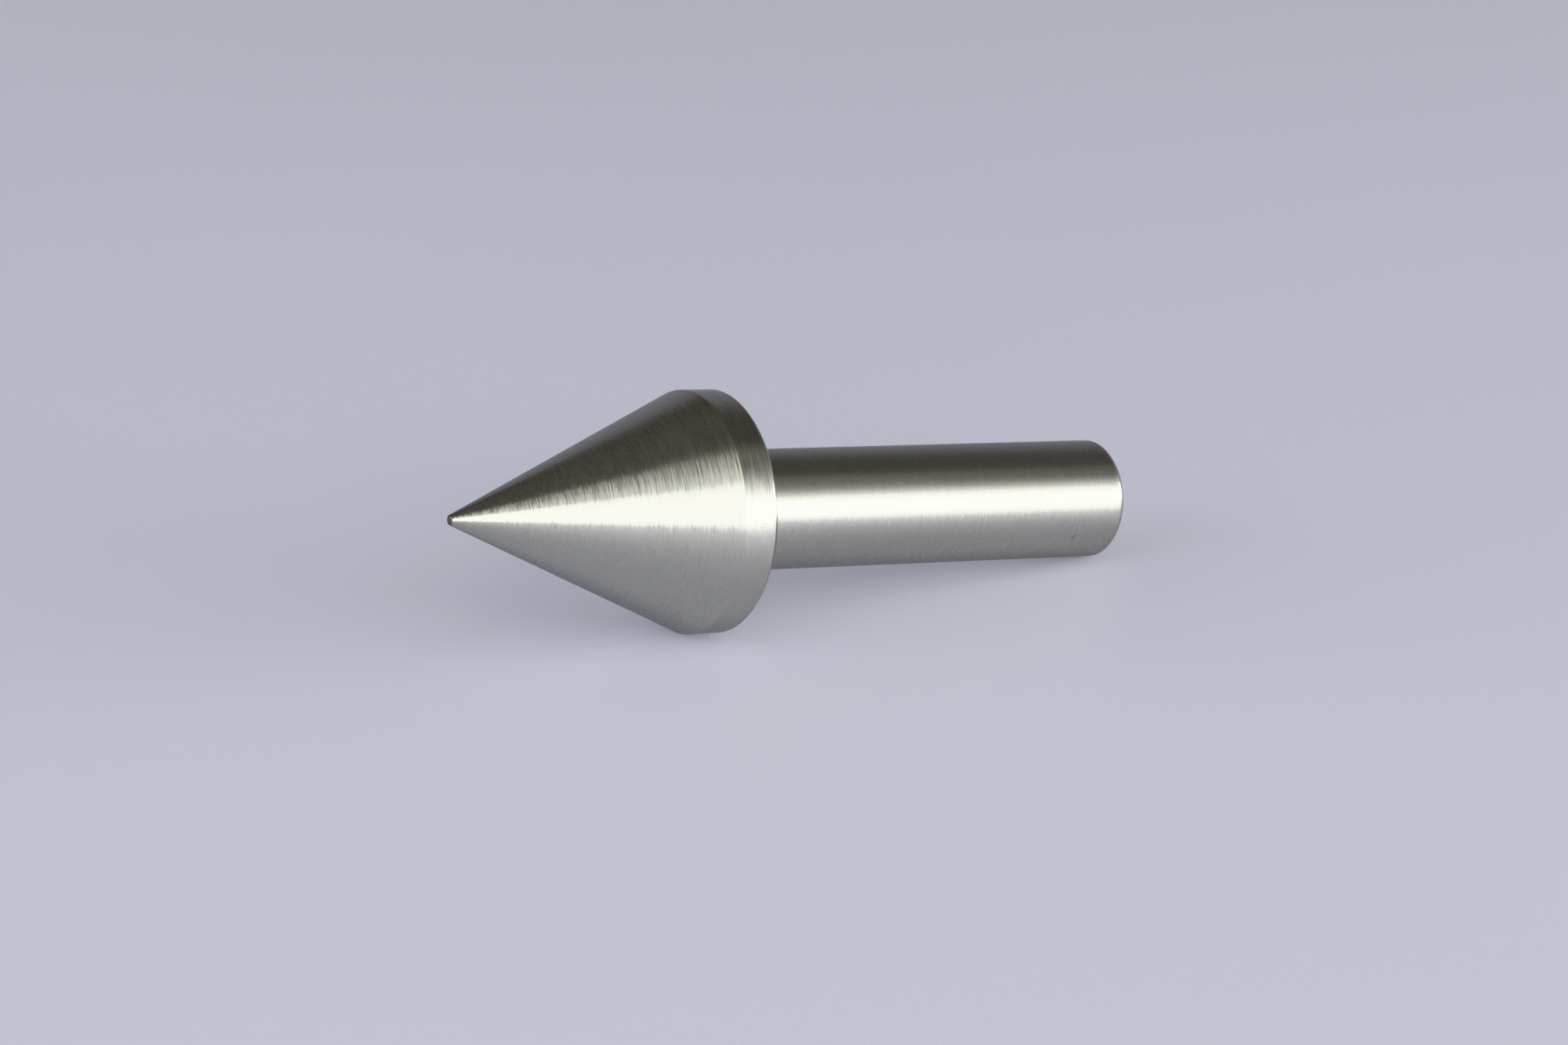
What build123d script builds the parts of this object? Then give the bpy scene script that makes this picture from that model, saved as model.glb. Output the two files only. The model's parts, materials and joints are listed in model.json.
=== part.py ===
"""Live center: a cone head that turns on three bearings over a stationary straight-shank arbor.

Millimetres. The spindle axis is X. The origin is on that axis where the gripped length of the
shank ends, level with the back face of the head. The point is towards +X, the shank towards -X.
"""

import os
from math import cos, radians, sin, tan

from build123d import *

os.makedirs("parts", exist_ok=True)

INCH = 25.4
SAME_PLACE = 1e-6

# Outside form
HEAD_RADIUS = 1.0 * INCH / 2
BAND_WIDTH = 5 / 32 * INCH
POINT_ANGLE = 48.0
POINT_FLAT_RADIUS = 0.52
POINT_ROUND = 0.12
HEAD_BACK_CHAMFER = 0.4
SHANK_RADIUS = 0.5 * INCH / 2
SHANK_LENGTH = 1.9 * INCH
SHANK_END_CHAMFER = 0.55
SHANK_END_ROUND = 0.3

# Centre hole in the free end of the shank, drilled for grinding between centres
PILOT_RADIUS = 1.0
PILOT_DEPTH = 4.5
CENTRE_HOLE_RADIUS = 2.1
CENTRE_HOLE_ANGLE = 60.0

# Retaining nut, felt seal and washers in the mouth of the head
NUT_RECESS = 0.2
NUT_LENGTH = 3.2
NUT_THREAD_RADIUS = 9.5
NUT_BORE_RADIUS = 6.5
NUT_CHAMFER = 0.25
SPANNER_HOLES = 4
SPANNER_HOLE_RADIUS = 0.8
SPANNER_HOLE_DEPTH = 1.6
SPANNER_CIRCLE_RADIUS = 7.9
FELT_THICKNESS = 1.2
FELT_OUTER_RADIUS = 8.2
FELT_BORE_RADIUS = 5.92
FELT_WASHER_THICKNESS = 0.4
FELT_WASHER_OUTER_RADIUS = 9.0
FELT_WASHER_BORE_RADIUS = 6.45
WAVE_WASHER_HEIGHT = 1.0
WAVE_WASHER_SHEET = 0.2
WAVE_WASHER_PLAY = 0.02
WAVE_WASHER_OUTER_RADIUS = 7.85
WAVE_WASHER_BORE_RADIUS = 6.85
WAVES = 3
POINTS_PER_WAVE = 8

# Room between a ball and its groove, and between a ball and its cage
BALL_CLEARANCE = 0.045
POCKET_CLEARANCE = 0.05

# Main bearing: shielded deep-groove ball bearing, 8 x 16 x 5
MAIN_BORE_RADIUS = 4.0
MAIN_OUTER_RADIUS = 8.0
MAIN_WIDTH = 5.0
MAIN_INNER_LAND_RADIUS = 5.25
MAIN_OUTER_LAND_RADIUS = 6.75
MAIN_PITCH_RADIUS = (MAIN_BORE_RADIUS + MAIN_OUTER_RADIUS) / 2
MAIN_BALL_RADIUS = 3 / 32 * INCH / 2
MAIN_GROOVE_RADIUS = MAIN_BALL_RADIUS + BALL_CLEARANCE
MAIN_BALLS = 9
RING_CHAMFER = 0.2
SHIELD_SHEET = 0.25
SHIELD_INSET = 0.2
SHIELD_OUTER_RADIUS = 7.1
SHIELD_BORE_RADIUS = 5.4
CAGE_SHEET = 0.25
CAGE_INNER_RADIUS = 5.45
CAGE_OUTER_RADIUS = 6.55
CAGE_RIVET_RADIUS = 0.22
CAGE_RIVET_HEAD_RADIUS = 0.36
CAGE_RIVET_HEAD_HEIGHT = 0.15

# Snap ring that holds the main bearing on the arbor
SNAP_RING_THICKNESS = 0.8
SNAP_RING_OUTER_RADIUS = 5.0
SNAP_RING_GAP = 3.0
SNAP_GROOVE_RADIUS = 3.6
SNAP_GROOVE_WIDTH = 0.9
SNAP_GROOVE_LAND = 0.6

# Thrust bearing: ball thrust bearing, 6 x 12 x 4.5
THRUST_BORE_RADIUS = 3.0
THRUST_OUTER_RADIUS = 6.0
THRUST_HEIGHT = 4.5
THRUST_WASHER_THICKNESS = 1.5
THRUST_RELIEF = 0.15
THRUST_PITCH_RADIUS = (THRUST_BORE_RADIUS + THRUST_OUTER_RADIUS) / 2
THRUST_BALL_RADIUS = 1.0
THRUST_GROOVE_RADIUS = THRUST_BALL_RADIUS + BALL_CLEARANCE
THRUST_BALLS = 9
THRUST_CAGE_THICKNESS = 0.9
THRUST_CAGE_BORE_RADIUS = 3.2
THRUST_CAGE_OUTER_RADIUS = 5.85

# Nose bearing: drawn-cup needle bearing, 3 x 6.5 x 6
NEEDLE_JOURNAL_RADIUS = 1.5
NEEDLE_CUP_RADIUS = 3.25
NEEDLE_CUP_LENGTH = 6.0
NEEDLE_CUP_WALL = 0.6
NEEDLE_LIP_THICKNESS = 0.5
NEEDLE_LIP_RADIUS = 1.75
NEEDLE_RADIUS = 0.525
NEEDLE_LENGTH = 3.9
NEEDLE_END_ROUND = 0.2
NEEDLES = 7
NEEDLE_CAGE_BORE_RADIUS = 1.65
NEEDLE_CAGE_OUTER_RADIUS = 2.45
NEEDLE_CAGE_LENGTH = 4.8
NEEDLE_SLOT_CLEARANCE = 0.05

# Bore of the head and journals of the arbor
OUTER_RING_FLOAT = 0.2
THRUST_TO_NEEDLE = 0.3
NOSE_CLEARANCE = 0.6
DRILL_POINT_ANGLE = 118.0
SEAL_LAND_RADIUS = 5.9
SHOULDER_RADIUS = 5.0
SHOULDER_LENGTH = 0.9
JOURNAL_CHAMFER = 0.2

# Stations along the axis, from the back face of the head towards the point
NUT_BACK = NUT_RECESS
NUT_FRONT = NUT_BACK + NUT_LENGTH
FELT_BACK = NUT_FRONT - FELT_THICKNESS
THREAD_END = NUT_FRONT + FELT_WASHER_THICKNESS
MAIN_BACK = THREAD_END + WAVE_WASHER_HEIGHT
MAIN_MIDDLE = MAIN_BACK + MAIN_WIDTH / 2
MAIN_FRONT = MAIN_BACK + MAIN_WIDTH
MAIN_BORE_END = MAIN_FRONT + OUTER_RING_FLOAT
SNAP_GROOVE_FRONT = MAIN_FRONT + SNAP_GROOVE_WIDTH
THRUST_BACK = SNAP_GROOVE_FRONT + SNAP_GROOVE_LAND
THRUST_MIDDLE = THRUST_BACK + THRUST_HEIGHT / 2
THRUST_FRONT = THRUST_BACK + THRUST_HEIGHT
NEEDLE_BACK = THRUST_FRONT + THRUST_TO_NEEDLE
NEEDLE_MIDDLE = NEEDLE_BACK + NEEDLE_CUP_LENGTH / 2
NEEDLE_FRONT = NEEDLE_BACK + NEEDLE_CUP_LENGTH
NOSE_BORE_END = NEEDLE_FRONT + NOSE_CLEARANCE
DRILL_POINT = NOSE_BORE_END + NEEDLE_CUP_RADIUS / tan(radians(DRILL_POINT_ANGLE / 2))
POINT_TIP = BAND_WIDTH + (HEAD_RADIUS - POINT_FLAT_RADIUS) / tan(radians(POINT_ANGLE / 2))


def turn(outline, mode=Mode.ADD):
    """Revolve a closed outline of (x, radius) points about the X axis."""
    with BuildSketch(Plane.XZ, mode=Mode.PRIVATE) as section:
        with BuildLine():
            Polyline(*outline, close=True)
        make_face()
    revolve(section.sketch, axis=Axis.X, mode=mode)


def tube(outer_radius, bore_radius, length):
    """A plain ring, centred on the workplane."""
    Cylinder(outer_radius, length)
    Cylinder(bore_radius, length, mode=Mode.SUBTRACT)


def circles_at(part, x, radius):
    """The circular edges of a turned part at one station and radius."""
    circles = part.edges().filter_by(GeomType.CIRCLE)
    at_station = circles.filter_by_position(Axis.X, x - SAME_PLACE, x + SAME_PLACE)
    return at_station.filter_by(lambda edge: abs(edge.radius - radius) < SAME_PLACE)


# The revolving head: band, cone and blunt point outside, stepped blind bore inside
with BuildPart() as cone_head:
    turn(
        [
            (0, 0),
            (0, HEAD_RADIUS),
            (BAND_WIDTH, HEAD_RADIUS),
            (POINT_TIP, POINT_FLAT_RADIUS),
            (POINT_TIP, 0),
        ]
    )
    turn(
        [
            (0, 0),
            (0, NUT_THREAD_RADIUS),
            (THREAD_END, NUT_THREAD_RADIUS),
            (THREAD_END, MAIN_OUTER_RADIUS),
            (MAIN_BORE_END, MAIN_OUTER_RADIUS),
            (MAIN_BORE_END, THRUST_OUTER_RADIUS),
            (THRUST_FRONT, THRUST_OUTER_RADIUS),
            (THRUST_FRONT, NEEDLE_CUP_RADIUS),
            (NOSE_BORE_END, NEEDLE_CUP_RADIUS),
            (DRILL_POINT, 0),
        ],
        mode=Mode.SUBTRACT,
    )
    chamfer(circles_at(cone_head, 0, HEAD_RADIUS), HEAD_BACK_CHAMFER)
    chamfer(circles_at(cone_head, 0, NUT_THREAD_RADIUS), NUT_CHAMFER)
    fillet(circles_at(cone_head, POINT_TIP, POINT_FLAT_RADIUS), POINT_ROUND)
cone_head.part.label = "cone_head"
export_step(cone_head.part, "parts/cone_head.step")

# The stationary arbor: shank, seal land, bearing shoulder and three journals
with BuildPart() as arbor:
    turn(
        [
            (-SHANK_LENGTH, 0),
            (-SHANK_LENGTH, SHANK_RADIUS),
            (0, SHANK_RADIUS),
            (0, SEAL_LAND_RADIUS),
            (MAIN_BACK - SHOULDER_LENGTH, SEAL_LAND_RADIUS),
            (MAIN_BACK - SHOULDER_LENGTH, SHOULDER_RADIUS),
            (MAIN_BACK, SHOULDER_RADIUS),
            (MAIN_BACK, MAIN_BORE_RADIUS),
            (MAIN_FRONT, MAIN_BORE_RADIUS),
            (MAIN_FRONT, SNAP_GROOVE_RADIUS),
            (SNAP_GROOVE_FRONT, SNAP_GROOVE_RADIUS),
            (SNAP_GROOVE_FRONT, MAIN_BORE_RADIUS),
            (THRUST_BACK, MAIN_BORE_RADIUS),
            (THRUST_BACK, THRUST_BORE_RADIUS),
            (THRUST_FRONT - JOURNAL_CHAMFER, THRUST_BORE_RADIUS),
            (THRUST_FRONT - JOURNAL_CHAMFER, NEEDLE_JOURNAL_RADIUS),
            (NEEDLE_FRONT, NEEDLE_JOURNAL_RADIUS),
            (NEEDLE_FRONT, 0),
        ]
    )
    chamfer(circles_at(arbor, -SHANK_LENGTH, SHANK_RADIUS), SHANK_END_CHAMFER)
    shank_end_edge = circles_at(arbor, SHANK_END_CHAMFER - SHANK_LENGTH, SHANK_RADIUS)
    fillet(shank_end_edge, SHANK_END_ROUND)
    chamfer(circles_at(arbor, NEEDLE_FRONT, NEEDLE_JOURNAL_RADIUS), JOURNAL_CHAMFER)
    centre_hole_depth = (CENTRE_HOLE_RADIUS - PILOT_RADIUS) / tan(radians(CENTRE_HOLE_ANGLE / 2))
    turn(
        [
            (-SHANK_LENGTH, 0),
            (-SHANK_LENGTH, CENTRE_HOLE_RADIUS),
            (centre_hole_depth - SHANK_LENGTH, PILOT_RADIUS),
            (PILOT_DEPTH - SHANK_LENGTH, PILOT_RADIUS),
            (PILOT_DEPTH + PILOT_RADIUS / tan(radians(DRILL_POINT_ANGLE / 2)) - SHANK_LENGTH, 0),
        ],
        mode=Mode.SUBTRACT,
    )
arbor.part.label = "arbor"
export_step(arbor.part, "parts/arbor.step")

# Retaining nut: screwed into the head, with four pin-spanner holes and a pocket for the felt
with BuildPart() as retaining_nut:
    turn(
        [
            (NUT_BACK, NUT_BORE_RADIUS),
            (NUT_BACK, NUT_THREAD_RADIUS),
            (NUT_FRONT, NUT_THREAD_RADIUS),
            (NUT_FRONT, FELT_OUTER_RADIUS),
            (FELT_BACK, FELT_OUTER_RADIUS),
            (FELT_BACK, NUT_BORE_RADIUS),
        ]
    )
    chamfer(circles_at(retaining_nut, NUT_BACK, NUT_THREAD_RADIUS), NUT_CHAMFER)
    chamfer(circles_at(retaining_nut, NUT_BACK, NUT_BORE_RADIUS), NUT_CHAMFER)
    with Locations(-Plane.YZ.offset(NUT_BACK)):
        with PolarLocations(SPANNER_CIRCLE_RADIUS, SPANNER_HOLES):
            Hole(SPANNER_HOLE_RADIUS, SPANNER_HOLE_DEPTH)
retaining_nut.part.label = "retaining_nut"
export_step(retaining_nut.part, "parts/retaining_nut.step")

# Felt ring that wipes the seal land of the arbor
with BuildPart(Plane.YZ.offset(FELT_BACK + FELT_THICKNESS / 2)) as felt_seal:
    tube(FELT_OUTER_RADIUS, FELT_BORE_RADIUS, FELT_THICKNESS)
felt_seal.part.label = "felt_seal"
export_step(felt_seal.part, "parts/felt_seal.step")

# Flat washer that the nut clamps on the step of the bore, closing the felt pocket
with BuildPart(Plane.YZ.offset(NUT_FRONT + FELT_WASHER_THICKNESS / 2)) as felt_washer:
    tube(FELT_WASHER_OUTER_RADIUS, FELT_WASHER_BORE_RADIUS, FELT_WASHER_THICKNESS)
felt_washer.part.label = "felt_washer"
export_step(felt_washer.part, "parts/felt_washer.step")

# Wave washer that preloads the bearings: a thin wavy ring
wave_height = (WAVE_WASHER_HEIGHT - WAVE_WASHER_SHEET) / 2 - WAVE_WASHER_PLAY


def wavy_circle(radius):
    """One closed edge of the wave washer, which rises and falls WAVES times on its way round."""
    points = []
    for step in range(WAVES * POINTS_PER_WAVE):
        around = radians(360 * step / (WAVES * POINTS_PER_WAVE))
        x = THREAD_END + WAVE_WASHER_HEIGHT / 2 + wave_height * cos(WAVES * around)
        points.append((x, radius * cos(around), radius * sin(around)))
    return Edge.make_spline(points, periodic=True)


wavy_ribbon = Face.make_surface_from_curves(
    wavy_circle(WAVE_WASHER_BORE_RADIUS),
    wavy_circle(WAVE_WASHER_OUTER_RADIUS),
)
with BuildPart() as wave_washer:
    thicken(wavy_ribbon, amount=WAVE_WASHER_SHEET / 2, both=True)
wave_washer.part.label = "wave_washer"
export_step(wave_washer.part, "parts/wave_washer.step")

# Main bearing rings, with a ball groove in each
with BuildPart(Plane.YZ.offset(MAIN_MIDDLE)) as main_inner_ring:
    tube(MAIN_INNER_LAND_RADIUS, MAIN_BORE_RADIUS, MAIN_WIDTH)
    Torus(MAIN_PITCH_RADIUS, MAIN_GROOVE_RADIUS, mode=Mode.SUBTRACT)
    for face_x in (MAIN_BACK, MAIN_FRONT):
        chamfer(circles_at(main_inner_ring, face_x, MAIN_BORE_RADIUS), RING_CHAMFER)
main_inner_ring.part.label = "main_inner_ring"
export_step(main_inner_ring.part, "parts/main_inner_ring.step")

with BuildPart(Plane.YZ.offset(MAIN_MIDDLE)) as main_outer_ring:
    tube(MAIN_OUTER_RADIUS, MAIN_OUTER_LAND_RADIUS, MAIN_WIDTH)
    Torus(MAIN_PITCH_RADIUS, MAIN_GROOVE_RADIUS, mode=Mode.SUBTRACT)
    for side in (-1, 1):
        recess_depth = SHIELD_INSET + SHIELD_SHEET
        with Locations((0, 0, side * (MAIN_WIDTH - recess_depth) / 2)):
            Cylinder(SHIELD_OUTER_RADIUS, recess_depth, mode=Mode.SUBTRACT)
    for face_x in (MAIN_BACK, MAIN_FRONT):
        chamfer(circles_at(main_outer_ring, face_x, MAIN_OUTER_RADIUS), RING_CHAMFER)
main_outer_ring.part.label = "main_outer_ring"
export_step(main_outer_ring.part, "parts/main_outer_ring.step")

# Thin steel shields, held in the outer ring, that run just clear of the inner ring
shield_offset = (MAIN_WIDTH - SHIELD_SHEET) / 2 - SHIELD_INSET
with BuildPart(Plane.YZ.offset(MAIN_MIDDLE - shield_offset)) as main_rear_shield:
    tube(SHIELD_OUTER_RADIUS, SHIELD_BORE_RADIUS, SHIELD_SHEET)
main_rear_shield.part.label = "main_rear_shield"
export_step(main_rear_shield.part, "parts/main_rear_shield.step")

with BuildPart(Plane.YZ.offset(MAIN_MIDDLE + shield_offset)) as main_front_shield:
    tube(SHIELD_OUTER_RADIUS, SHIELD_BORE_RADIUS, SHIELD_SHEET)
main_front_shield.part.label = "main_front_shield"
export_step(main_front_shield.part, "parts/main_front_shield.step")

# Main bearing balls
with BuildPart(Plane.YZ.offset(MAIN_MIDDLE)) as main_balls:
    with PolarLocations(MAIN_PITCH_RADIUS, MAIN_BALLS):
        Sphere(MAIN_BALL_RADIUS)
main_balls.part.label = "main_balls"
export_step(main_balls.part, "parts/main_balls.step")

# Two pressed halves of the ribbon cage: cupped pockets joined by flats that rivets hold together
pocket_radius = MAIN_BALL_RADIUS + POCKET_CLEARANCE
half_pitch = 180 / MAIN_BALLS
cage_depth = pocket_radius + CAGE_SHEET


def cage_half(side):
    """One half of the ribbon cage, on the side of the middle plane that side (-1 or 1) names."""
    with Locations((0, 0, side * CAGE_SHEET / 2)):
        tube(CAGE_OUTER_RADIUS, CAGE_INNER_RADIUS, CAGE_SHEET)
    with PolarLocations(MAIN_PITCH_RADIUS, MAIN_BALLS):
        Sphere(cage_depth)
    with PolarLocations(MAIN_PITCH_RADIUS, MAIN_BALLS):
        Sphere(pocket_radius, mode=Mode.SUBTRACT)
    with PolarLocations(MAIN_PITCH_RADIUS, MAIN_BALLS, start_angle=half_pitch):
        Cylinder(CAGE_RIVET_RADIUS, 2 * CAGE_SHEET, mode=Mode.SUBTRACT)
    with BuildSketch(Plane.YZ.offset(MAIN_MIDDLE), mode=Mode.PRIVATE) as band:
        Circle(CAGE_OUTER_RADIUS)
        Circle(CAGE_INNER_RADIUS, mode=Mode.SUBTRACT)
    extrude(band.sketch, amount=side * cage_depth, mode=Mode.INTERSECT)


with BuildPart(Plane.YZ.offset(MAIN_MIDDLE)) as main_cage_rear:
    cage_half(-1)
main_cage_rear.part.label = "main_cage_rear"
export_step(main_cage_rear.part, "parts/main_cage_rear.step")

with BuildPart(Plane.YZ.offset(MAIN_MIDDLE)) as main_cage_front:
    cage_half(1)
main_cage_front.part.label = "main_cage_front"
export_step(main_cage_front.part, "parts/main_cage_front.step")

with BuildPart(Plane.YZ.offset(MAIN_MIDDLE)) as main_cage_rivets:
    with PolarLocations(MAIN_PITCH_RADIUS, MAIN_BALLS, start_angle=half_pitch):
        Cylinder(CAGE_RIVET_RADIUS, 2 * CAGE_SHEET)
    for side in (-1, 1):
        with Locations((0, 0, side * (CAGE_SHEET + CAGE_RIVET_HEAD_HEIGHT / 2))):
            with PolarLocations(MAIN_PITCH_RADIUS, MAIN_BALLS, start_angle=half_pitch):
                Cylinder(CAGE_RIVET_HEAD_RADIUS, CAGE_RIVET_HEAD_HEIGHT)
main_cage_rivets.part.label = "main_cage_rivets"
export_step(main_cage_rivets.part, "parts/main_cage_rivets.step")

# Open snap ring in the groove in front of the main bearing
with BuildPart(Plane.YZ.offset(MAIN_FRONT + SNAP_RING_THICKNESS / 2)) as arbor_snap_ring:
    tube(SNAP_RING_OUTER_RADIUS, SNAP_GROOVE_RADIUS, SNAP_RING_THICKNESS)
    with Locations((0, SNAP_RING_OUTER_RADIUS, 0)):
        Box(SNAP_RING_GAP, 2 * SNAP_RING_OUTER_RADIUS, SNAP_RING_THICKNESS, mode=Mode.SUBTRACT)
arbor_snap_ring.part.label = "arbor_snap_ring"
export_step(arbor_snap_ring.part, "parts/arbor_snap_ring.step")

# Thrust bearing: grooved shaft washer, grooved housing washer, balls and a drilled brass cage
washer_offset = (THRUST_HEIGHT - THRUST_WASHER_THICKNESS) / 2
with BuildPart(Plane.YZ.offset(THRUST_MIDDLE - washer_offset)) as thrust_shaft_washer:
    tube(THRUST_OUTER_RADIUS - THRUST_RELIEF, THRUST_BORE_RADIUS, THRUST_WASHER_THICKNESS)
    with Locations((0, 0, washer_offset)):
        Torus(THRUST_PITCH_RADIUS, THRUST_GROOVE_RADIUS, mode=Mode.SUBTRACT)
thrust_shaft_washer.part.label = "thrust_shaft_washer"
export_step(thrust_shaft_washer.part, "parts/thrust_shaft_washer.step")

with BuildPart(Plane.YZ.offset(THRUST_MIDDLE + washer_offset)) as thrust_housing_washer:
    tube(THRUST_OUTER_RADIUS, THRUST_BORE_RADIUS + THRUST_RELIEF, THRUST_WASHER_THICKNESS)
    with Locations((0, 0, -washer_offset)):
        Torus(THRUST_PITCH_RADIUS, THRUST_GROOVE_RADIUS, mode=Mode.SUBTRACT)
thrust_housing_washer.part.label = "thrust_housing_washer"
export_step(thrust_housing_washer.part, "parts/thrust_housing_washer.step")

with BuildPart(Plane.YZ.offset(THRUST_MIDDLE)) as thrust_balls:
    with PolarLocations(THRUST_PITCH_RADIUS, THRUST_BALLS):
        Sphere(THRUST_BALL_RADIUS)
thrust_balls.part.label = "thrust_balls"
export_step(thrust_balls.part, "parts/thrust_balls.step")

with BuildPart(Plane.YZ.offset(THRUST_MIDDLE)) as thrust_cage:
    tube(THRUST_CAGE_OUTER_RADIUS, THRUST_CAGE_BORE_RADIUS, THRUST_CAGE_THICKNESS)
    with PolarLocations(THRUST_PITCH_RADIUS, THRUST_BALLS):
        Hole(THRUST_BALL_RADIUS + POCKET_CLEARANCE)
thrust_cage.part.label = "thrust_cage"
export_step(thrust_cage.part, "parts/thrust_cage.step")

# Needle bearing: drawn cup with turned-in lips, needles and a slotted cage
with BuildPart(Plane.YZ.offset(NEEDLE_MIDDLE)) as needle_cup:
    tube(NEEDLE_CUP_RADIUS, NEEDLE_LIP_RADIUS, NEEDLE_CUP_LENGTH)
    cup_room = NEEDLE_CUP_LENGTH - 2 * NEEDLE_LIP_THICKNESS
    Cylinder(NEEDLE_CUP_RADIUS - NEEDLE_CUP_WALL, cup_room, mode=Mode.SUBTRACT)
needle_cup.part.label = "needle_cup"
export_step(needle_cup.part, "parts/needle_cup.step")

needle_pitch_radius = (NEEDLE_JOURNAL_RADIUS + NEEDLE_CUP_RADIUS - NEEDLE_CUP_WALL) / 2
with BuildPart(Plane.YZ.offset(NEEDLE_MIDDLE)) as needle_rollers:
    with PolarLocations(needle_pitch_radius, NEEDLES):
        Cylinder(NEEDLE_RADIUS, NEEDLE_LENGTH)
    fillet(needle_rollers.edges().filter_by(GeomType.CIRCLE), NEEDLE_END_ROUND)
needle_rollers.part.label = "needle_rollers"
export_step(needle_rollers.part, "parts/needle_rollers.step")

with BuildPart(Plane.YZ.offset(NEEDLE_MIDDLE)) as needle_cage:
    tube(NEEDLE_CAGE_OUTER_RADIUS, NEEDLE_CAGE_BORE_RADIUS, NEEDLE_CAGE_LENGTH)
    with PolarLocations(needle_pitch_radius, NEEDLES):
        Box(
            2 * needle_pitch_radius - 2 * NEEDLE_RADIUS,
            2 * (NEEDLE_RADIUS + NEEDLE_SLOT_CLEARANCE),
            NEEDLE_LENGTH + 2 * NEEDLE_SLOT_CLEARANCE,
            mode=Mode.SUBTRACT,
        )
needle_cage.part.label = "needle_cage"
export_step(needle_cage.part, "parts/needle_cage.step")
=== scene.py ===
"""Looks of the live center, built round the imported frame.

Metres, in the row frame: the spindle axis is X, the point is towards +X, and the gripped length of
the shank runs from the origin towards -X. The part lies on its side on a table, touching it with
the rear rim of the head and the free end of the shank, so the table is tilted in this frame.
"""

import json
import math
import random

import bmesh
import bpy
from mathutils import Matrix, Vector


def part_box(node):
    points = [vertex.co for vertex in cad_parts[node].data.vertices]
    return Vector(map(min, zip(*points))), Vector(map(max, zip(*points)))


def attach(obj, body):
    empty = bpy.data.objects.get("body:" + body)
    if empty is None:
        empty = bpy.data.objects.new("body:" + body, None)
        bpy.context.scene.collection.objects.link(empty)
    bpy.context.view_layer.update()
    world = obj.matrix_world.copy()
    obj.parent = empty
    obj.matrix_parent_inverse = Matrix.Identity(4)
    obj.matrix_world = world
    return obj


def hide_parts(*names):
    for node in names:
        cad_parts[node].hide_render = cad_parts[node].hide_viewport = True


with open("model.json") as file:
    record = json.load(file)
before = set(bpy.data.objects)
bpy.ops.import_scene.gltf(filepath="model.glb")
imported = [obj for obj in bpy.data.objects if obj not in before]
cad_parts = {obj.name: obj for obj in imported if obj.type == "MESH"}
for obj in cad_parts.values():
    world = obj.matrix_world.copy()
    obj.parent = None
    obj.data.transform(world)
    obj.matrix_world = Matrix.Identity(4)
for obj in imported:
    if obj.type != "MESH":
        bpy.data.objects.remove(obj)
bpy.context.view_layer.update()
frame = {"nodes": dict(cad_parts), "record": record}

MM = 0.001

# Sizes that the boxes of the CAD nodes don't give
POINT_HALF_ANGLE = math.radians(24)
POINT_FLAT = 0.52 * MM
POINT_ROUND = 0.12 * MM
HEAD_BACK_CHAMFER = 0.4 * MM
HEAD_BACK_ROUND = 0.35 * MM
MOUTH_CHAMFER = 0.25 * MM
OUTER_RING_FLOAT = 0.2 * MM
NOSE_CLEARANCE = 0.6 * MM
SHANK_END_CHAMFER = 0.55 * MM
SHANK_END_ROUND = 0.8 * MM
SEAL_LAND = 5.9 * MM
SHOULDER = 5.0 * MM
SHOULDER_LENGTH = 0.9 * MM
MAIN_JOURNAL = 4.0 * MM
SNAP_GROOVE = 3.6 * MM
SNAP_GROOVE_WIDTH = 0.9 * MM
THRUST_JOURNAL = 3.0 * MM
NEEDLE_JOURNAL = 1.5 * MM
JOURNAL_CHAMFER = 0.2 * MM
CENTRE_HOLE = 2.1 * MM
CENTRE_HALF_ANGLE = math.radians(30)
PILOT = 1.0 * MM
PILOT_DEPTH = 4.5 * MM
DRILL_HALF_ANGLE = math.radians(59)
EDGE_ROUND = 0.05 * MM

# Meshes, and the turning marks in them. An arc takes at most ARC_ROOM of the run on either side of it,
# a radius under ON_AXIS is one point, and a run that bends by under STRAIGHT radians takes marks.
SEGMENTS = 288
ARC_STEPS = 4
ARC_ROOM = 0.45
ON_AXIS = 1e-9
STRAIGHT = 0.01
HEAD_RELIEF_STEP = 0.25 * MM
HEAD_RELIEF = 0.0006 * MM
ARBOR_RELIEF_STEP = 0.4 * MM
ARBOR_RELIEF = 0.0002 * MM


def span(node):
    """Lowest and highest x of a CAD node, and its largest radius."""
    low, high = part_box(node)
    return low.x, high.x, high.y


# ---------------------------------------------------------------- lathe work


def rounded(outline, radius):
    """The outline with a small arc at each corner. A corner can carry its own radius as a third value."""
    points = [Vector(outline[0][:2])]
    for before, corner, after in zip(outline, outline[1:], outline[2:]):
        here = Vector(corner[:2])
        size = corner[2] if len(corner) > 2 else radius
        back = Vector(before[:2]) - here
        ahead = Vector(after[:2]) - here
        half = back.angle(ahead) / 2
        reach = size / math.tan(half)
        if reach > ARC_ROOM * min(back.length, ahead.length):
            points.append(here)
            continue
        bisector = (back.normalized() + ahead.normalized()).normalized()
        centre = here + bisector * (size / math.sin(half))
        start = here + back.normalized() * reach - centre
        end = here + ahead.normalized() * reach - centre
        sweep = start.angle(end)
        for step in range(ARC_STEPS + 1):
            done = sweep * step / ARC_STEPS
            spoke = (start * math.sin(sweep - done) + end * math.sin(done)) / math.sin(sweep)
            points.append(centre + spoke)
    points.append(Vector(outline[-1][:2]))
    return points


def divided(points, step):
    """The same line with its long runs cut into pieces of about one step."""
    out = [points[0]]
    for a, b in zip(points, points[1:]):
        pieces = max(1, round((b - a).length / step))
        for i in range(1, pieces + 1):
            out.append(a.lerp(b, i / pieces))
    return out


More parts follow.
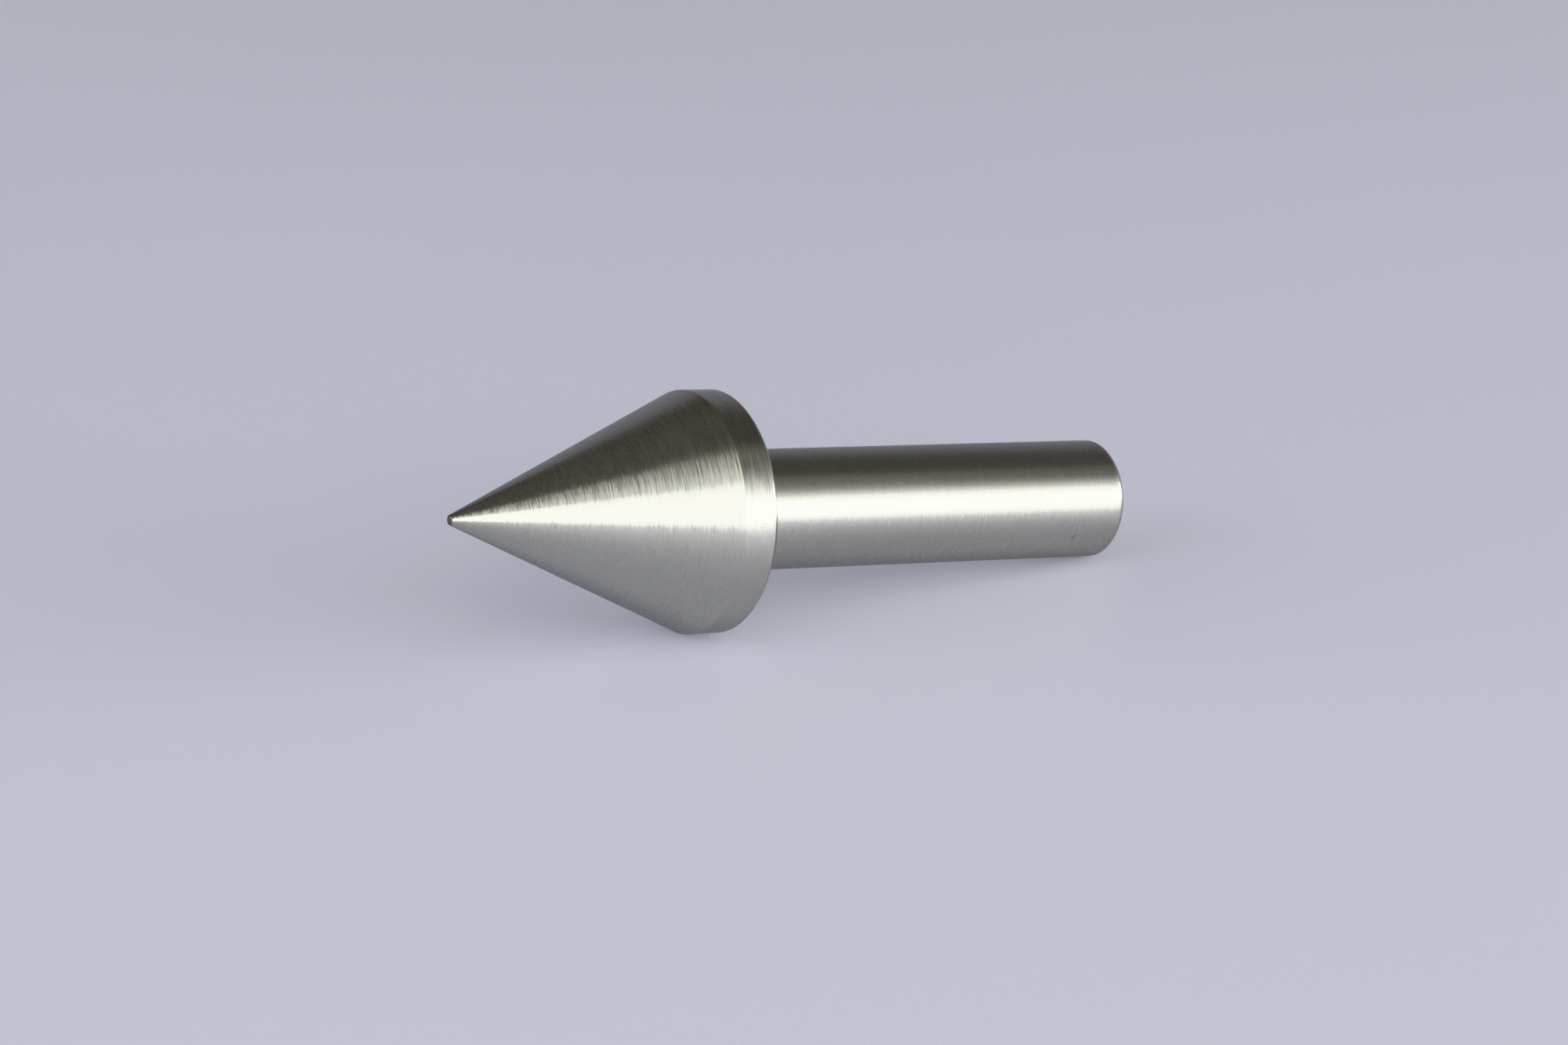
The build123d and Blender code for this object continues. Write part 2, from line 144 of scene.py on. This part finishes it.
def relief(points, depth, seed):
    """Turning marks: each point of a straight run moves a little along the surface's normal."""
    draw = random.Random(seed)
    out = [points[0]]
    for a, here, b in zip(points, points[1:], points[2:]):
        along = b - a
        if here.y > 0 and (here - a).angle(b - here, 1.0) < STRAIGHT:
            normal = Vector((-along.y, along.x)).normalized()
            here = here + normal * draw.uniform(-depth, depth)
        out.append(here)
    out.append(points[-1])
    return out


def lathe(name, points):
    """Revolve a line of (x, radius) points about X. It starts and ends on the axis."""
    work = bmesh.new()
    rings = []
    for x, radius in points:
        if radius < ON_AXIS:
            rings.append([work.verts.new((x, 0, 0))])
            continue
        ring = []
        for i in range(SEGMENTS):
            angle = 2 * math.pi * i / SEGMENTS
            ring.append(work.verts.new((x, radius * math.sin(angle), radius * math.cos(angle))))
        rings.append(ring)
    for a, b in zip(rings, rings[1:]):
        for i in range(SEGMENTS):
            j = (i + 1) % SEGMENTS
            corners = [a[i % len(a)], b[i % len(b)], b[j % len(b)], a[j % len(a)]]
            work.faces.new(list(dict.fromkeys(corners))).smooth = True
    bmesh.ops.recalc_face_normals(work, faces=work.faces)
    mesh = bpy.data.meshes.new(name)
    work.to_mesh(mesh)
    work.free()
    piece = bpy.data.objects.new(name, mesh)
    bpy.context.scene.collection.objects.link(piece)
    return piece


# ---------------------------------------------------------------- materials

# Most values of a noise lie between these two
NOISE_LOW = 0.3
NOISE_HIGH = 0.7

# A nick: thin curls that fade from CURL_CORE of its size outwards
CURL_SCALE = 2300
CURL_WIDTH = 0.07
CURL_CORE = 0.6

# Turned metal: the band against the cone, the stain at the point, the painted shade in the nicks,
# the tint of grazing light, and how far the scratches lean round the axis against along it
BAND_BLEND = 0.03 * MM
BAND_ROUGHNESS = 0.72
BAND_COMB = 0.5
STAIN_REACH = 0.2 * MM
STAIN_RAGGED = 0.1 * MM
STAIN_TINT = (0.55, 0.43, 0.40)
NICK_PAINTED_SHADE = (0.35, 0.33, 0.30)
EDGE_TINT = (0.7, 0.7, 0.7, 1)
TWIST_SHARE = 0.15

SHEET_GRAIN_DEPTH = 0.003 * MM
FELT_SHADE = (0.55, 0.52, 0.44)
FELT_PALE = (0.80, 0.77, 0.68)
FIBRE_DEPTH = 0.04 * MM


def fill_ramp(node, stops):
    """Sets a colour ramp's stops, each a position and a colour."""
    elements = node.color_ramp.elements
    while len(elements) < len(stops):
        elements.new(0.5)
    for element, (position, colour) in zip(elements, stops):
        element.position = position
        element.color = (*colour, 1)


class Nodes:
    """Short calls for the nodes of one material."""

    def __init__(self, name):
        self.material = bpy.data.materials.new(name)
        self.material.use_nodes = True
        self.tree = self.material.node_tree
        self.shader = self.tree.nodes["Principled BSDF"]

    def link(self, source, target):
        self.tree.links.new(source, target)

    def put(self, values, sockets):
        """Fills input sockets: a link for another node's output, a setting for a number or a tuple."""
        for value, socket in zip(values, sockets):
            if isinstance(value, (int, float, tuple)):
                socket.default_value = value
            else:
                self.link(value, socket)

    def place(self):
        return self.tree.nodes.new("ShaderNodeTexCoord").outputs["Object"]

    def vector(self, operation, *values):
        node = self.tree.nodes.new("ShaderNodeVectorMath")
        node.operation = operation
        self.put(values, node.inputs)
        return node.outputs["Value" if operation in ("DISTANCE", "DOT_PRODUCT") else "Vector"]

    def math(self, operation, *values):
        node = self.tree.nodes.new("ShaderNodeMath")
        node.operation = operation
        self.put(values, node.inputs)
        return node.outputs[0]

    def mixed(self, a, b, share):
        """a and b added, with the share of a stated."""
        return self.math("ADD", self.math("MULTIPLY", a, share), self.math("MULTIPLY", b, 1 - share))

    def noise(self, place, scale=1.0, detail=2.0, roughness=0.5, seed=0.0):
        node = self.tree.nodes.new("ShaderNodeTexNoise")
        node.noise_dimensions = "4D"
        node.inputs["W"].default_value = seed
        node.inputs["Scale"].default_value = scale
        node.inputs["Detail"].default_value = detail
        node.inputs["Roughness"].default_value = roughness
        self.link(place, node.inputs["Vector"])
        return node.outputs[0]

    def remap(self, value, low, high, to_low, to_high):
        node = self.tree.nodes.new("ShaderNodeMapRange")
        node.inputs["From Min"].default_value = low
        node.inputs["From Max"].default_value = high
        node.inputs["To Min"].default_value = to_low
        node.inputs["To Max"].default_value = to_high
        self.link(value, node.inputs["Value"])
        return node.outputs[0]

    def ramp(self, value, *stops):
        node = self.tree.nodes.new("ShaderNodeValToRGB")
        fill_ramp(node, stops)
        self.link(value, node.inputs[0])
        return node.outputs["Color"]

    def tinted(self, colour, amount, tint):
        """The colour, multiplied by the tint where amount is 1."""
        return self.vector("MULTIPLY", colour, self.ramp(amount, (0.0, (1, 1, 1)), (1.0, tint)))

    def around_axis(self, axial, around):
        """Coordinates that run round the X axis without a seam: axial is cycles per metre along it."""
        place = self.place()
        across = self.vector("NORMALIZE", self.vector("MULTIPLY", place, (0, 1, 1)))
        ring = self.vector("MULTIPLY", across, (0, around, around))
        along = self.vector("MULTIPLY", place, (axial, 0, 0))
        return self.vector("ADD", ring, along)

    def bump(self, height, depth, normal=None):
        node = self.tree.nodes.new("ShaderNodeBump")
        node.inputs["Strength"].default_value = 1
        node.inputs["Distance"].default_value = depth
        self.link(height, node.inputs["Height"])
        if normal is not None:
            self.link(normal, node.inputs["Normal"])
        return node.outputs[0]

    def comb(self, axial, around, amount):
        """A value that swings either side of 0 from scratch to scratch."""
        swing = self.noise(self.around_axis(axial, around), detail=2, roughness=0.6, seed=13 + axial)
        return self.remap(swing, NOISE_LOW, NOISE_HIGH, -amount, amount)

    def leant(self, normal, along, around):
        """The normal leant along the axis and a little round it, as on the flank of a scratch."""
        sideways = self.vector("MULTIPLY", self.vector("CROSS_PRODUCT", normal, (1, 0, 0)), around)
        both = self.vector("ADD", sideways, self.vector("MULTIPLY", along, (1, 0, 0)))
        return self.vector("NORMALIZE", self.vector("ADD", normal, both))

    def squiggle(self, spot, size):
        """1 along a few thin curls within a short reach of the spot, 0 elsewhere."""
        away = self.vector("DISTANCE", self.place(), tuple(spot))
        inside = self.remap(away, size * CURL_CORE, size, 1, 0)
        curl = self.math("SUBTRACT", self.noise(self.place(), scale=CURL_SCALE, seed=4), 0.5)
        line = self.remap(self.math("ABSOLUTE", curl), 0.0, CURL_WIDTH, 1, 0)
        return self.math("MULTIPLY", inside, line)

    def round_lay(self, anisotropy):
        """Stretches gloss along the axis, across marks that run round it."""
        tangent = self.tree.nodes.new("ShaderNodeTangent")
        tangent.direction_type = "RADIAL"
        tangent.axis = "X"
        self.link(tangent.outputs[0], self.shader.inputs["Tangent"])
        self.set(Anisotropic=anisotropy, Anisotropic_Rotation=0.25)

    def set(self, **values):
        for name, value in values.items():
            self.shader.inputs[name.replace("_", " ")].default_value = value

    def feed(self, **sources):
        for name, source in sources.items():
            self.link(source, self.shader.inputs[name.replace("_", " ")])


def turned_metal(name, *, colours, gloss, fine, broad, hairs, lay, comb=0.0, band=None, point=None, nicks=()):
    """Metal with fine marks round the axis.

    colours and gloss each give the two ends of a range. fine and broad are sets of streaks: cycles
    per metre along the axis, turns round it, and depth. hairs is how much gloss the single scratches
    lose, lay how far the gloss stretches across the marks, and comb how far the flanks of the
    scratches lean. Behind the station band the metal is smoother, and at the station point it is
    stained by use. Each nick has a spot, a size and a depth; its colour is darkened along its curls
    as painted shade in the dent.
    """
    m = Nodes(name)
    fine_axial, fine_around, fine_depth = fine
    broad_axial, broad_around, broad_depth = broad
    fine_marks = m.noise(m.around_axis(fine_axial, fine_around), detail=3, roughness=0.6)
    broad_marks = m.noise(m.around_axis(broad_axial, broad_around), detail=2, seed=3)
    marks = m.mixed(fine_marks, broad_marks, share=0.6)
    hair = m.noise(m.around_axis(fine_axial * 1.7, fine_around * 0.8), detail=1, seed=9)
    lost_gloss = m.math("MULTIPLY", m.remap(hair, low=0.55, high=0.75, to_low=0, to_high=1), hairs)
    cloud = m.noise(m.place(), scale=140, detail=3, seed=7)

    colour = m.ramp(marks, (0.25, colours[0]), (0.75, colours[1]))
    matt = m.math("ADD", m.remap(m.mixed(marks, cloud, share=0.75), 0.35, 0.65, *gloss), lost_gloss)
    lean = m.comb(fine_axial * 1.1, fine_around * 0.6, comb)
    twist = m.comb(fine_axial * 0.9, fine_around * 0.6, comb * TWIST_SHARE)

    station = m.vector("DOT_PRODUCT", m.place(), (1, 0, 0))
    if band is not None:
        blend = (band - BAND_BLEND, band + BAND_BLEND)
        matt = m.math("MULTIPLY", matt, m.remap(station, *blend, BAND_ROUGHNESS, 1))
        lean = m.math("MULTIPLY", lean, m.remap(station, *blend, BAND_COMB, 1))
    if point is not None:
        ragged = m.remap(m.noise(m.place(), scale=4000), NOISE_LOW, NOISE_HIGH, -STAIN_RAGGED, STAIN_RAGGED)
        stain = m.remap(m.math("ADD", station, ragged), point - STAIN_REACH, point, 0, 1)
        colour = m.tinted(colour, stain, STAIN_TINT)

    normal = m.leant(m.bump(broad_marks, broad_depth, m.bump(fine_marks, fine_depth)), lean, twist)
    for spot, size, depth in nicks:
        dent = m.squiggle(spot, size)
        # Painted shade: each nick's colour is darkened along its curls, as shade in the dent would darken it
        colour = m.tinted(colour, dent, NICK_PAINTED_SHADE)
        normal = m.bump(m.remap(dent, 0, 1, 1, 0), depth, normal)

    m.feed(Base_Color=colour, Roughness=matt, Normal=normal)
    m.set(Metallic=1.0, Specular_Tint=EDGE_TINT)
    m.round_lay(lay)
    return m.material


def plain_metal(name, *, colours, gloss, grain):
    """Metal with an even grain, for pressed sheet and springs."""
    m = Nodes(name)
    speck = m.noise(m.place(), scale=grain, detail=3, roughness=0.6)
    cloud = m.noise(m.place(), scale=grain / 12, detail=2, seed=5)
    m.feed(Base_Color=m.ramp(cloud, (NOISE_LOW, colours[0]), (NOISE_HIGH, colours[1])))
    m.feed(Roughness=m.remap(speck, NOISE_LOW, NOISE_HIGH, *gloss))
    m.feed(Normal=m.bump(speck, SHEET_GRAIN_DEPTH))
    m.set(Metallic=1.0)
    return m.material


def felt(name):
    """Pressed wool: soft fibres that lie every way."""
    m = Nodes(name)
    fibre = m.noise(m.place(), scale=9000, detail=4, roughness=0.7)
    tuft = m.noise(m.place(), scale=1400, detail=2, seed=2)
    m.feed(Base_Color=m.ramp(tuft, (NOISE_LOW, FELT_SHADE), (NOISE_HIGH, FELT_PALE)))
    m.feed(Normal=m.bump(fibre, FIBRE_DEPTH))
    m.feed(Roughness=m.remap(fibre, NOISE_LOW, NOISE_HIGH, 0.85, 1.0))
    m.set(Sheen_Weight=0.5, Sheen_Roughness=0.4)
    return m.material


def on_surface(x, radius, angle):
    """A point on a cylinder about X. The angle is in degrees from +Z towards +Y."""
    turn = math.radians(angle)
    return Vector((x, radius * math.sin(turn), radius * math.cos(turn)))


head_back, point_tip, head_radius = span("cone_head")
shank_end, journal_end, shank_radius = span("arbor")
band_front = point_tip - (head_radius - POINT_FLAT) / math.tan(POINT_HALF_ANGLE)

SHANK_NICKS = [
    (on_surface(-42.15 * MM, shank_radius, 115), 0.40 * MM, 0.004 * MM),
]
HEAD_NICKS = [
    (on_surface(3.0 * MM, head_radius, 80.7), 0.45 * MM, 0.003 * MM),
    (on_surface(1.9 * MM, head_radius, 82.2), 0.50 * MM, 0.003 * MM),
]

metals = {
    "turned_steel": turned_metal(
        "turned_steel",
        colours=((0.432, 0.430, 0.392), (0.485, 0.485, 0.445)),
        gloss=(0.22, 0.36),
        fine=(9000, 5, 0.0006 * MM),
        broad=(2600, 3, 0.0015 * MM),
        hairs=0.12,
        lay=0.8,
        comb=0.17,
        band=band_front,
        point=point_tip,
        nicks=HEAD_NICKS,
    ),
    "ground_steel": turned_metal(
        "ground_steel",
        colours=((0.442, 0.438, 0.400), (0.453, 0.452, 0.413)),
        gloss=(0.26, 0.28),
        fine=(8000, 3, 0.00004 * MM),
        broad=(1500, 2, 0.0002 * MM),
        hairs=0.02,
        lay=0.6,
        comb=0.004,
        nicks=SHANK_NICKS,
    ),
    "nut_steel": turned_metal(
        "nut_steel",
        colours=((0.36, 0.36, 0.36), (0.48, 0.48, 0.48)),
        gloss=(0.26, 0.42),
        fine=(6000, 9, 0.003 * MM),
        broad=(1500, 4, 0.004 * MM),
        hairs=0.15,
        lay=0.5,
    ),
    "bearing_steel": turned_metal(
        "bearing_steel",
        colours=((0.62, 0.62, 0.63), (0.72, 0.72, 0.73)),
        gloss=(0.06, 0.14),
        fine=(9000, 12, 0.001 * MM),
        broad=(2500, 6, 0.001 * MM),
        hairs=0.05,
        lay=0.3,
    ),
    "cage_steel": plain_metal(
        "cage_steel", colours=((0.50, 0.50, 0.51), (0.62, 0.62, 0.63)), gloss=(0.2, 0.38), grain=4000
    ),
    "cage_brass": plain_metal(
        "cage_brass", colours=((0.68, 0.47, 0.20), (0.80, 0.60, 0.30)), gloss=(0.18, 0.34), grain=4000
    ),
    "spring_steel": plain_metal(
        "spring_steel", colours=((0.07, 0.08, 0.12), (0.16, 0.15, 0.17)), gloss=(0.2, 0.35), grain=3000
    ),
    "wool_felt": felt("wool_felt"),
}

# ---------------------------------------------------------------- pieces

nut_radius = span("retaining_nut")[2]
washer_front = span("felt_washer")[1]
main_back, main_front, main_radius = span("main_outer_ring")
shaft_washer_back = span("thrust_shaft_washer")[0]
_, thrust_front, thrust_radius = span("thrust_housing_washer")
_, needle_front, needle_radius = span("needle_cup")


def stands_for(piece, node, body, slot):
    """The piece rides the body, replaces the CAD node and takes the slot's finish."""
    piece.data.materials.append(metals[slot])
    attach(piece, body)
    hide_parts(node)


def head():
    """The revolving head, with its stepped blind bore."""
    nose_end = needle_front + NOSE_CLEARANCE
    main_end = main_front + OUTER_RING_FLOAT
    outline = [
        (point_tip, 0),
        (point_tip, POINT_FLAT, POINT_ROUND),
        (band_front, head_radius),
        (head_back + HEAD_BACK_CHAMFER, head_radius, HEAD_BACK_ROUND),
        (head_back, head_radius - HEAD_BACK_CHAMFER),
        (head_back, nut_radius + MOUTH_CHAMFER),
        (head_back + MOUTH_CHAMFER, nut_radius),
        (washer_front, nut_radius),
        (washer_front, main_radius),
        (main_end, main_radius),
        (main_end, thrust_radius),
        (thrust_front, thrust_radius),
        (thrust_front, needle_radius),
        (nose_end, needle_radius),
        (nose_end + needle_radius / math.tan(DRILL_HALF_ANGLE), 0),
    ]
    points = divided(rounded(outline, EDGE_ROUND), HEAD_RELIEF_STEP)
    piece = lathe("head_shell", relief(points, HEAD_RELIEF, seed=11))
    stands_for(piece, "cone_head", "head", "turned_steel")


def spindle():
    """The stationary arbor, from the centre hole in its free end to the needle journal."""
    mouth = (CENTRE_HOLE - PILOT) / math.tan(CENTRE_HALF_ANGLE)
    pilot_end = shank_end + PILOT_DEPTH
    groove_front = main_front + SNAP_GROOVE_WIDTH
    outline = [
        (pilot_end + PILOT / math.tan(DRILL_HALF_ANGLE), 0),
        (pilot_end, PILOT),
        (shank_end + mouth, PILOT),
        (shank_end, CENTRE_HOLE),
        (shank_end, shank_radius - SHANK_END_CHAMFER),
        (shank_end + SHANK_END_CHAMFER, shank_radius, SHANK_END_ROUND),
        (0, shank_radius),
        (0, SEAL_LAND),
        (main_back - SHOULDER_LENGTH, SEAL_LAND),
        (main_back - SHOULDER_LENGTH, SHOULDER),
        (main_back, SHOULDER),
        (main_back, MAIN_JOURNAL),
        (main_front, MAIN_JOURNAL),
        (main_front, SNAP_GROOVE),
        (groove_front, SNAP_GROOVE),
        (groove_front, MAIN_JOURNAL),
        (shaft_washer_back, MAIN_JOURNAL),
        (shaft_washer_back, THRUST_JOURNAL),
        (thrust_front - JOURNAL_CHAMFER, THRUST_JOURNAL),
        (thrust_front - JOURNAL_CHAMFER, NEEDLE_JOURNAL),
        (journal_end - JOURNAL_CHAMFER, NEEDLE_JOURNAL),
        (journal_end, NEEDLE_JOURNAL - JOURNAL_CHAMFER),
        (journal_end, 0),
    ]
    points = divided(rounded(outline, EDGE_ROUND), ARBOR_RELIEF_STEP)
    piece = lathe("arbor_body", relief(points, ARBOR_RELIEF, seed=5))
    stands_for(piece, "arbor", "arbor", "ground_steel")


def finish_nodes():
    """Gives every CAD node its slot's finish. head() and spindle() then replace two of them."""
    for part in frame["record"]["subparts"]:
        materials = frame["nodes"][part["node"]].data.materials
        materials.clear()
        materials.append(metals[part["material_slot"]])


finish_nodes()
head()
spindle()

# ---------------------------------------------------------------- table, light and camera

# The table touches the rear rim of the head and the rounded free end of the shank
FLOOR_CONTACT = Vector((HEAD_BACK_CHAMFER, 0, -head_radius))
SHANK_CONTACT_INSET = 0.2 * MM
contact_span = HEAD_BACK_CHAMFER - shank_end - SHANK_END_CHAMFER - SHANK_CONTACT_INSET
tilt = math.atan2(head_radius - shank_radius, contact_span)
floor_axes = Matrix((
    (math.cos(tilt), 0, math.sin(tilt)),
    (0, 1, 0),
    (-math.sin(tilt), 0, math.cos(tilt)),
))
floor_up = floor_axes.col[2].copy()

FLOOR_RADIUS = 12
FLOOR_PALE = (0.295, 0.300, 0.350)
FLOOR_PALEST = (0.303, 0.308, 0.358)
# The table's painted glow: its strength, its share of the table's colour near the part and far off, and the
# reach in metres between them
FLOOR_PAINTED_GLOW = 1.16
PAINTED_GLOW_NEAR = (0.5, 0.5, 0.5)
PAINTED_GLOW_FAR = (1, 1, 1)
PAINTED_GLOW_REACH = (1, 1.8)

VIEW_AZIMUTH = 148.822
VIEW_ELEVATION = 17.701
VIEW_DISTANCE = 494.7 * MM
VIEW_AIM = Vector((-8.366, 0.408, -1.405)) * MM
VIEW_LENS = 108
VIEW_SENSOR = 36
VIEW_CLIP = (0.01, 60)

WHITE = (1.0, 1.0, 1.0)
CREAM_WHITE = (1.0, 1.0, 0.985)
CREAM = (1.0, 1.0, 0.95)
AMBER = (1.0, 0.86, 0.68)
COOL_WHITE = (0.96, 0.98, 1.0)

# Sine of the height above the table, and the sky's colour there
SKY_STOPS = (
    (0.0, (0.50, 0.51, 0.58)),
    (0.50, (0.33, 0.325, 0.35)),
    (0.66, (0.165, 0.158, 0.155)),
    (1.0, (0.185, 0.177, 0.165)),
)


def towards(azimuth, elevation):
    """A direction from the part, turned to the camera's right by azimuth, and raised from the table."""
    a = math.radians(VIEW_AZIMUTH + azimuth)
    e = math.radians(elevation)
    return floor_axes @ Vector((math.sin(a) * math.cos(e), -math.cos(a) * math.cos(e), math.sin(e)))


def aimed(thing, place, target):
    """Puts a camera or a light in place, level with the table, facing the target."""
    back = (place - target).normalized()
    right = floor_up.cross(back).normalized()
    up = back.cross(right)
    thing.matrix_world = Matrix.Translation(place) @ Matrix((right, up, back)).transposed().to_4x4()


def table():
    """A pale table with painted light: it glows, more far away, which lifts its shadows and its dim far part,
    and it mirrors at a low angle.
    """
    m = Nodes("table")
    m.material.cycles.emission_sampling = "NONE"
    cloud = m.noise(m.place(), scale=5, detail=2)
    pale = m.ramp(cloud, (NOISE_LOW, FLOOR_PALE), (NOISE_HIGH, FLOOR_PALEST))
    # Painted light: the table gives off its own glow, half as strong near the part as far off, lifting the
    # shade round the part and the dimmer far table
    far = m.remap(m.vector("DISTANCE", m.place(), (0, 0, 0)), *PAINTED_GLOW_REACH, 0, 1)
    painted_glow = m.vector("MULTIPLY", pale, m.ramp(far, (0.0, PAINTED_GLOW_NEAR), (1.0, PAINTED_GLOW_FAR)))
    m.feed(Base_Color=pale, Emission_Color=painted_glow)
    m.set(Roughness=0.55, IOR=1.55, Emission_Strength=FLOOR_PAINTED_GLOW)

    work = bmesh.new()
    bmesh.ops.create_circle(work, cap_ends=True, radius=FLOOR_RADIUS, segments=96)
    mesh = bpy.data.meshes.new("table")
    work.to_mesh(mesh)
    work.free()
    mesh.materials.append(m.material)
    floor = bpy.data.objects.new("table", mesh)
    bpy.context.scene.collection.objects.link(floor)
    floor.matrix_world = Matrix.Translation(FLOOR_CONTACT) @ floor_axes.to_4x4()


def softbox(name, azimuth, elevation, distance, size, power, colour, seen=True, shape="RECTANGLE"):
    """A light that faces the part. seen says if metal and table mirror it."""
    data = bpy.data.lights.new(name, "AREA")
    data.shape = shape
    data.size, data.size_y = size
    data.energy = power
    data.color = colour
    light = bpy.data.objects.new(name, data)
    bpy.context.scene.collection.objects.link(light)
    light.visible_camera = False
    light.visible_glossy = seen
    aimed(light, towards(azimuth, elevation) * distance, Vector())


def sky():
    """Pale behind the table, dark overhead."""
    world = bpy.data.worlds.new("studio")
    bpy.context.scene.world = world
    world.use_nodes = True
    tree = world.node_tree
    place = tree.nodes.new("ShaderNodeTexCoord").outputs["Generated"]
    height = tree.nodes.new("ShaderNodeVectorMath")
    height.operation = "DOT_PRODUCT"
    height.inputs[1].default_value = floor_up
    ramp = tree.nodes.new("ShaderNodeValToRGB")
    fill_ramp(ramp, SKY_STOPS)
    tree.links.new(place, height.inputs[0])
    tree.links.new(height.outputs["Value"], ramp.inputs[0])
    tree.links.new(ramp.outputs[0], tree.nodes["Background"].inputs["Color"])


def camera():
    """A long lens that looks down on the part from one side, a little ahead of it."""
    data = bpy.data.cameras.new("camera")
    data.sensor_width = VIEW_SENSOR
    data.lens = VIEW_LENS
    data.clip_start, data.clip_end = VIEW_CLIP
    view = bpy.data.objects.new("camera", data)
    bpy.context.scene.collection.objects.link(view)
    aimed(view, VIEW_AIM + towards(0, VIEW_ELEVATION) * VIEW_DISTANCE, VIEW_AIM)
    bpy.context.scene.camera = view


table()
# Name, azimuth and elevation in degrees, distance, size, power and colour
softbox("right", 76, 7.5, 1.2, (1.30, 0.31), 24.0, CREAM_WHITE)
softbox("right_edge", 76, 16, 1.2, (1.30, 0.64), 2.2, CREAM)
softbox("front", 14, 21, 1.2, (0.65, 0.71), 7.2, CREAM_WHITE)
softbox("front_edge", 14, 29, 1.2, (0.70, 1.06), 1.8, CREAM)
softbox("upper", 46, 50, 1.2, (0.65, 0.80), 2.0, CREAM, shape="ELLIPSE")
softbox("warm", 98, 47, 1.2, (0.35, 0.14), 0.03, AMBER)
softbox("left", -50, 25, 1.25, (0.90, 0.60), 7.5, COOL_WHITE, seen=False)
softbox("left_glint", -85, 22, 1.2, (0.60, 0.40), 2.5, COOL_WHITE)
softbox("back_left", -125, 35, 1.5, (1.0, 0.8), 2.5, WHITE, seen=False)
softbox("above", -20, 50, 2.0, (1.5, 1.5), 9.0, WHITE, seen=False)
sky()
camera()
bpy.context.scene.view_settings.view_transform = "Khronos PBR Neutral"
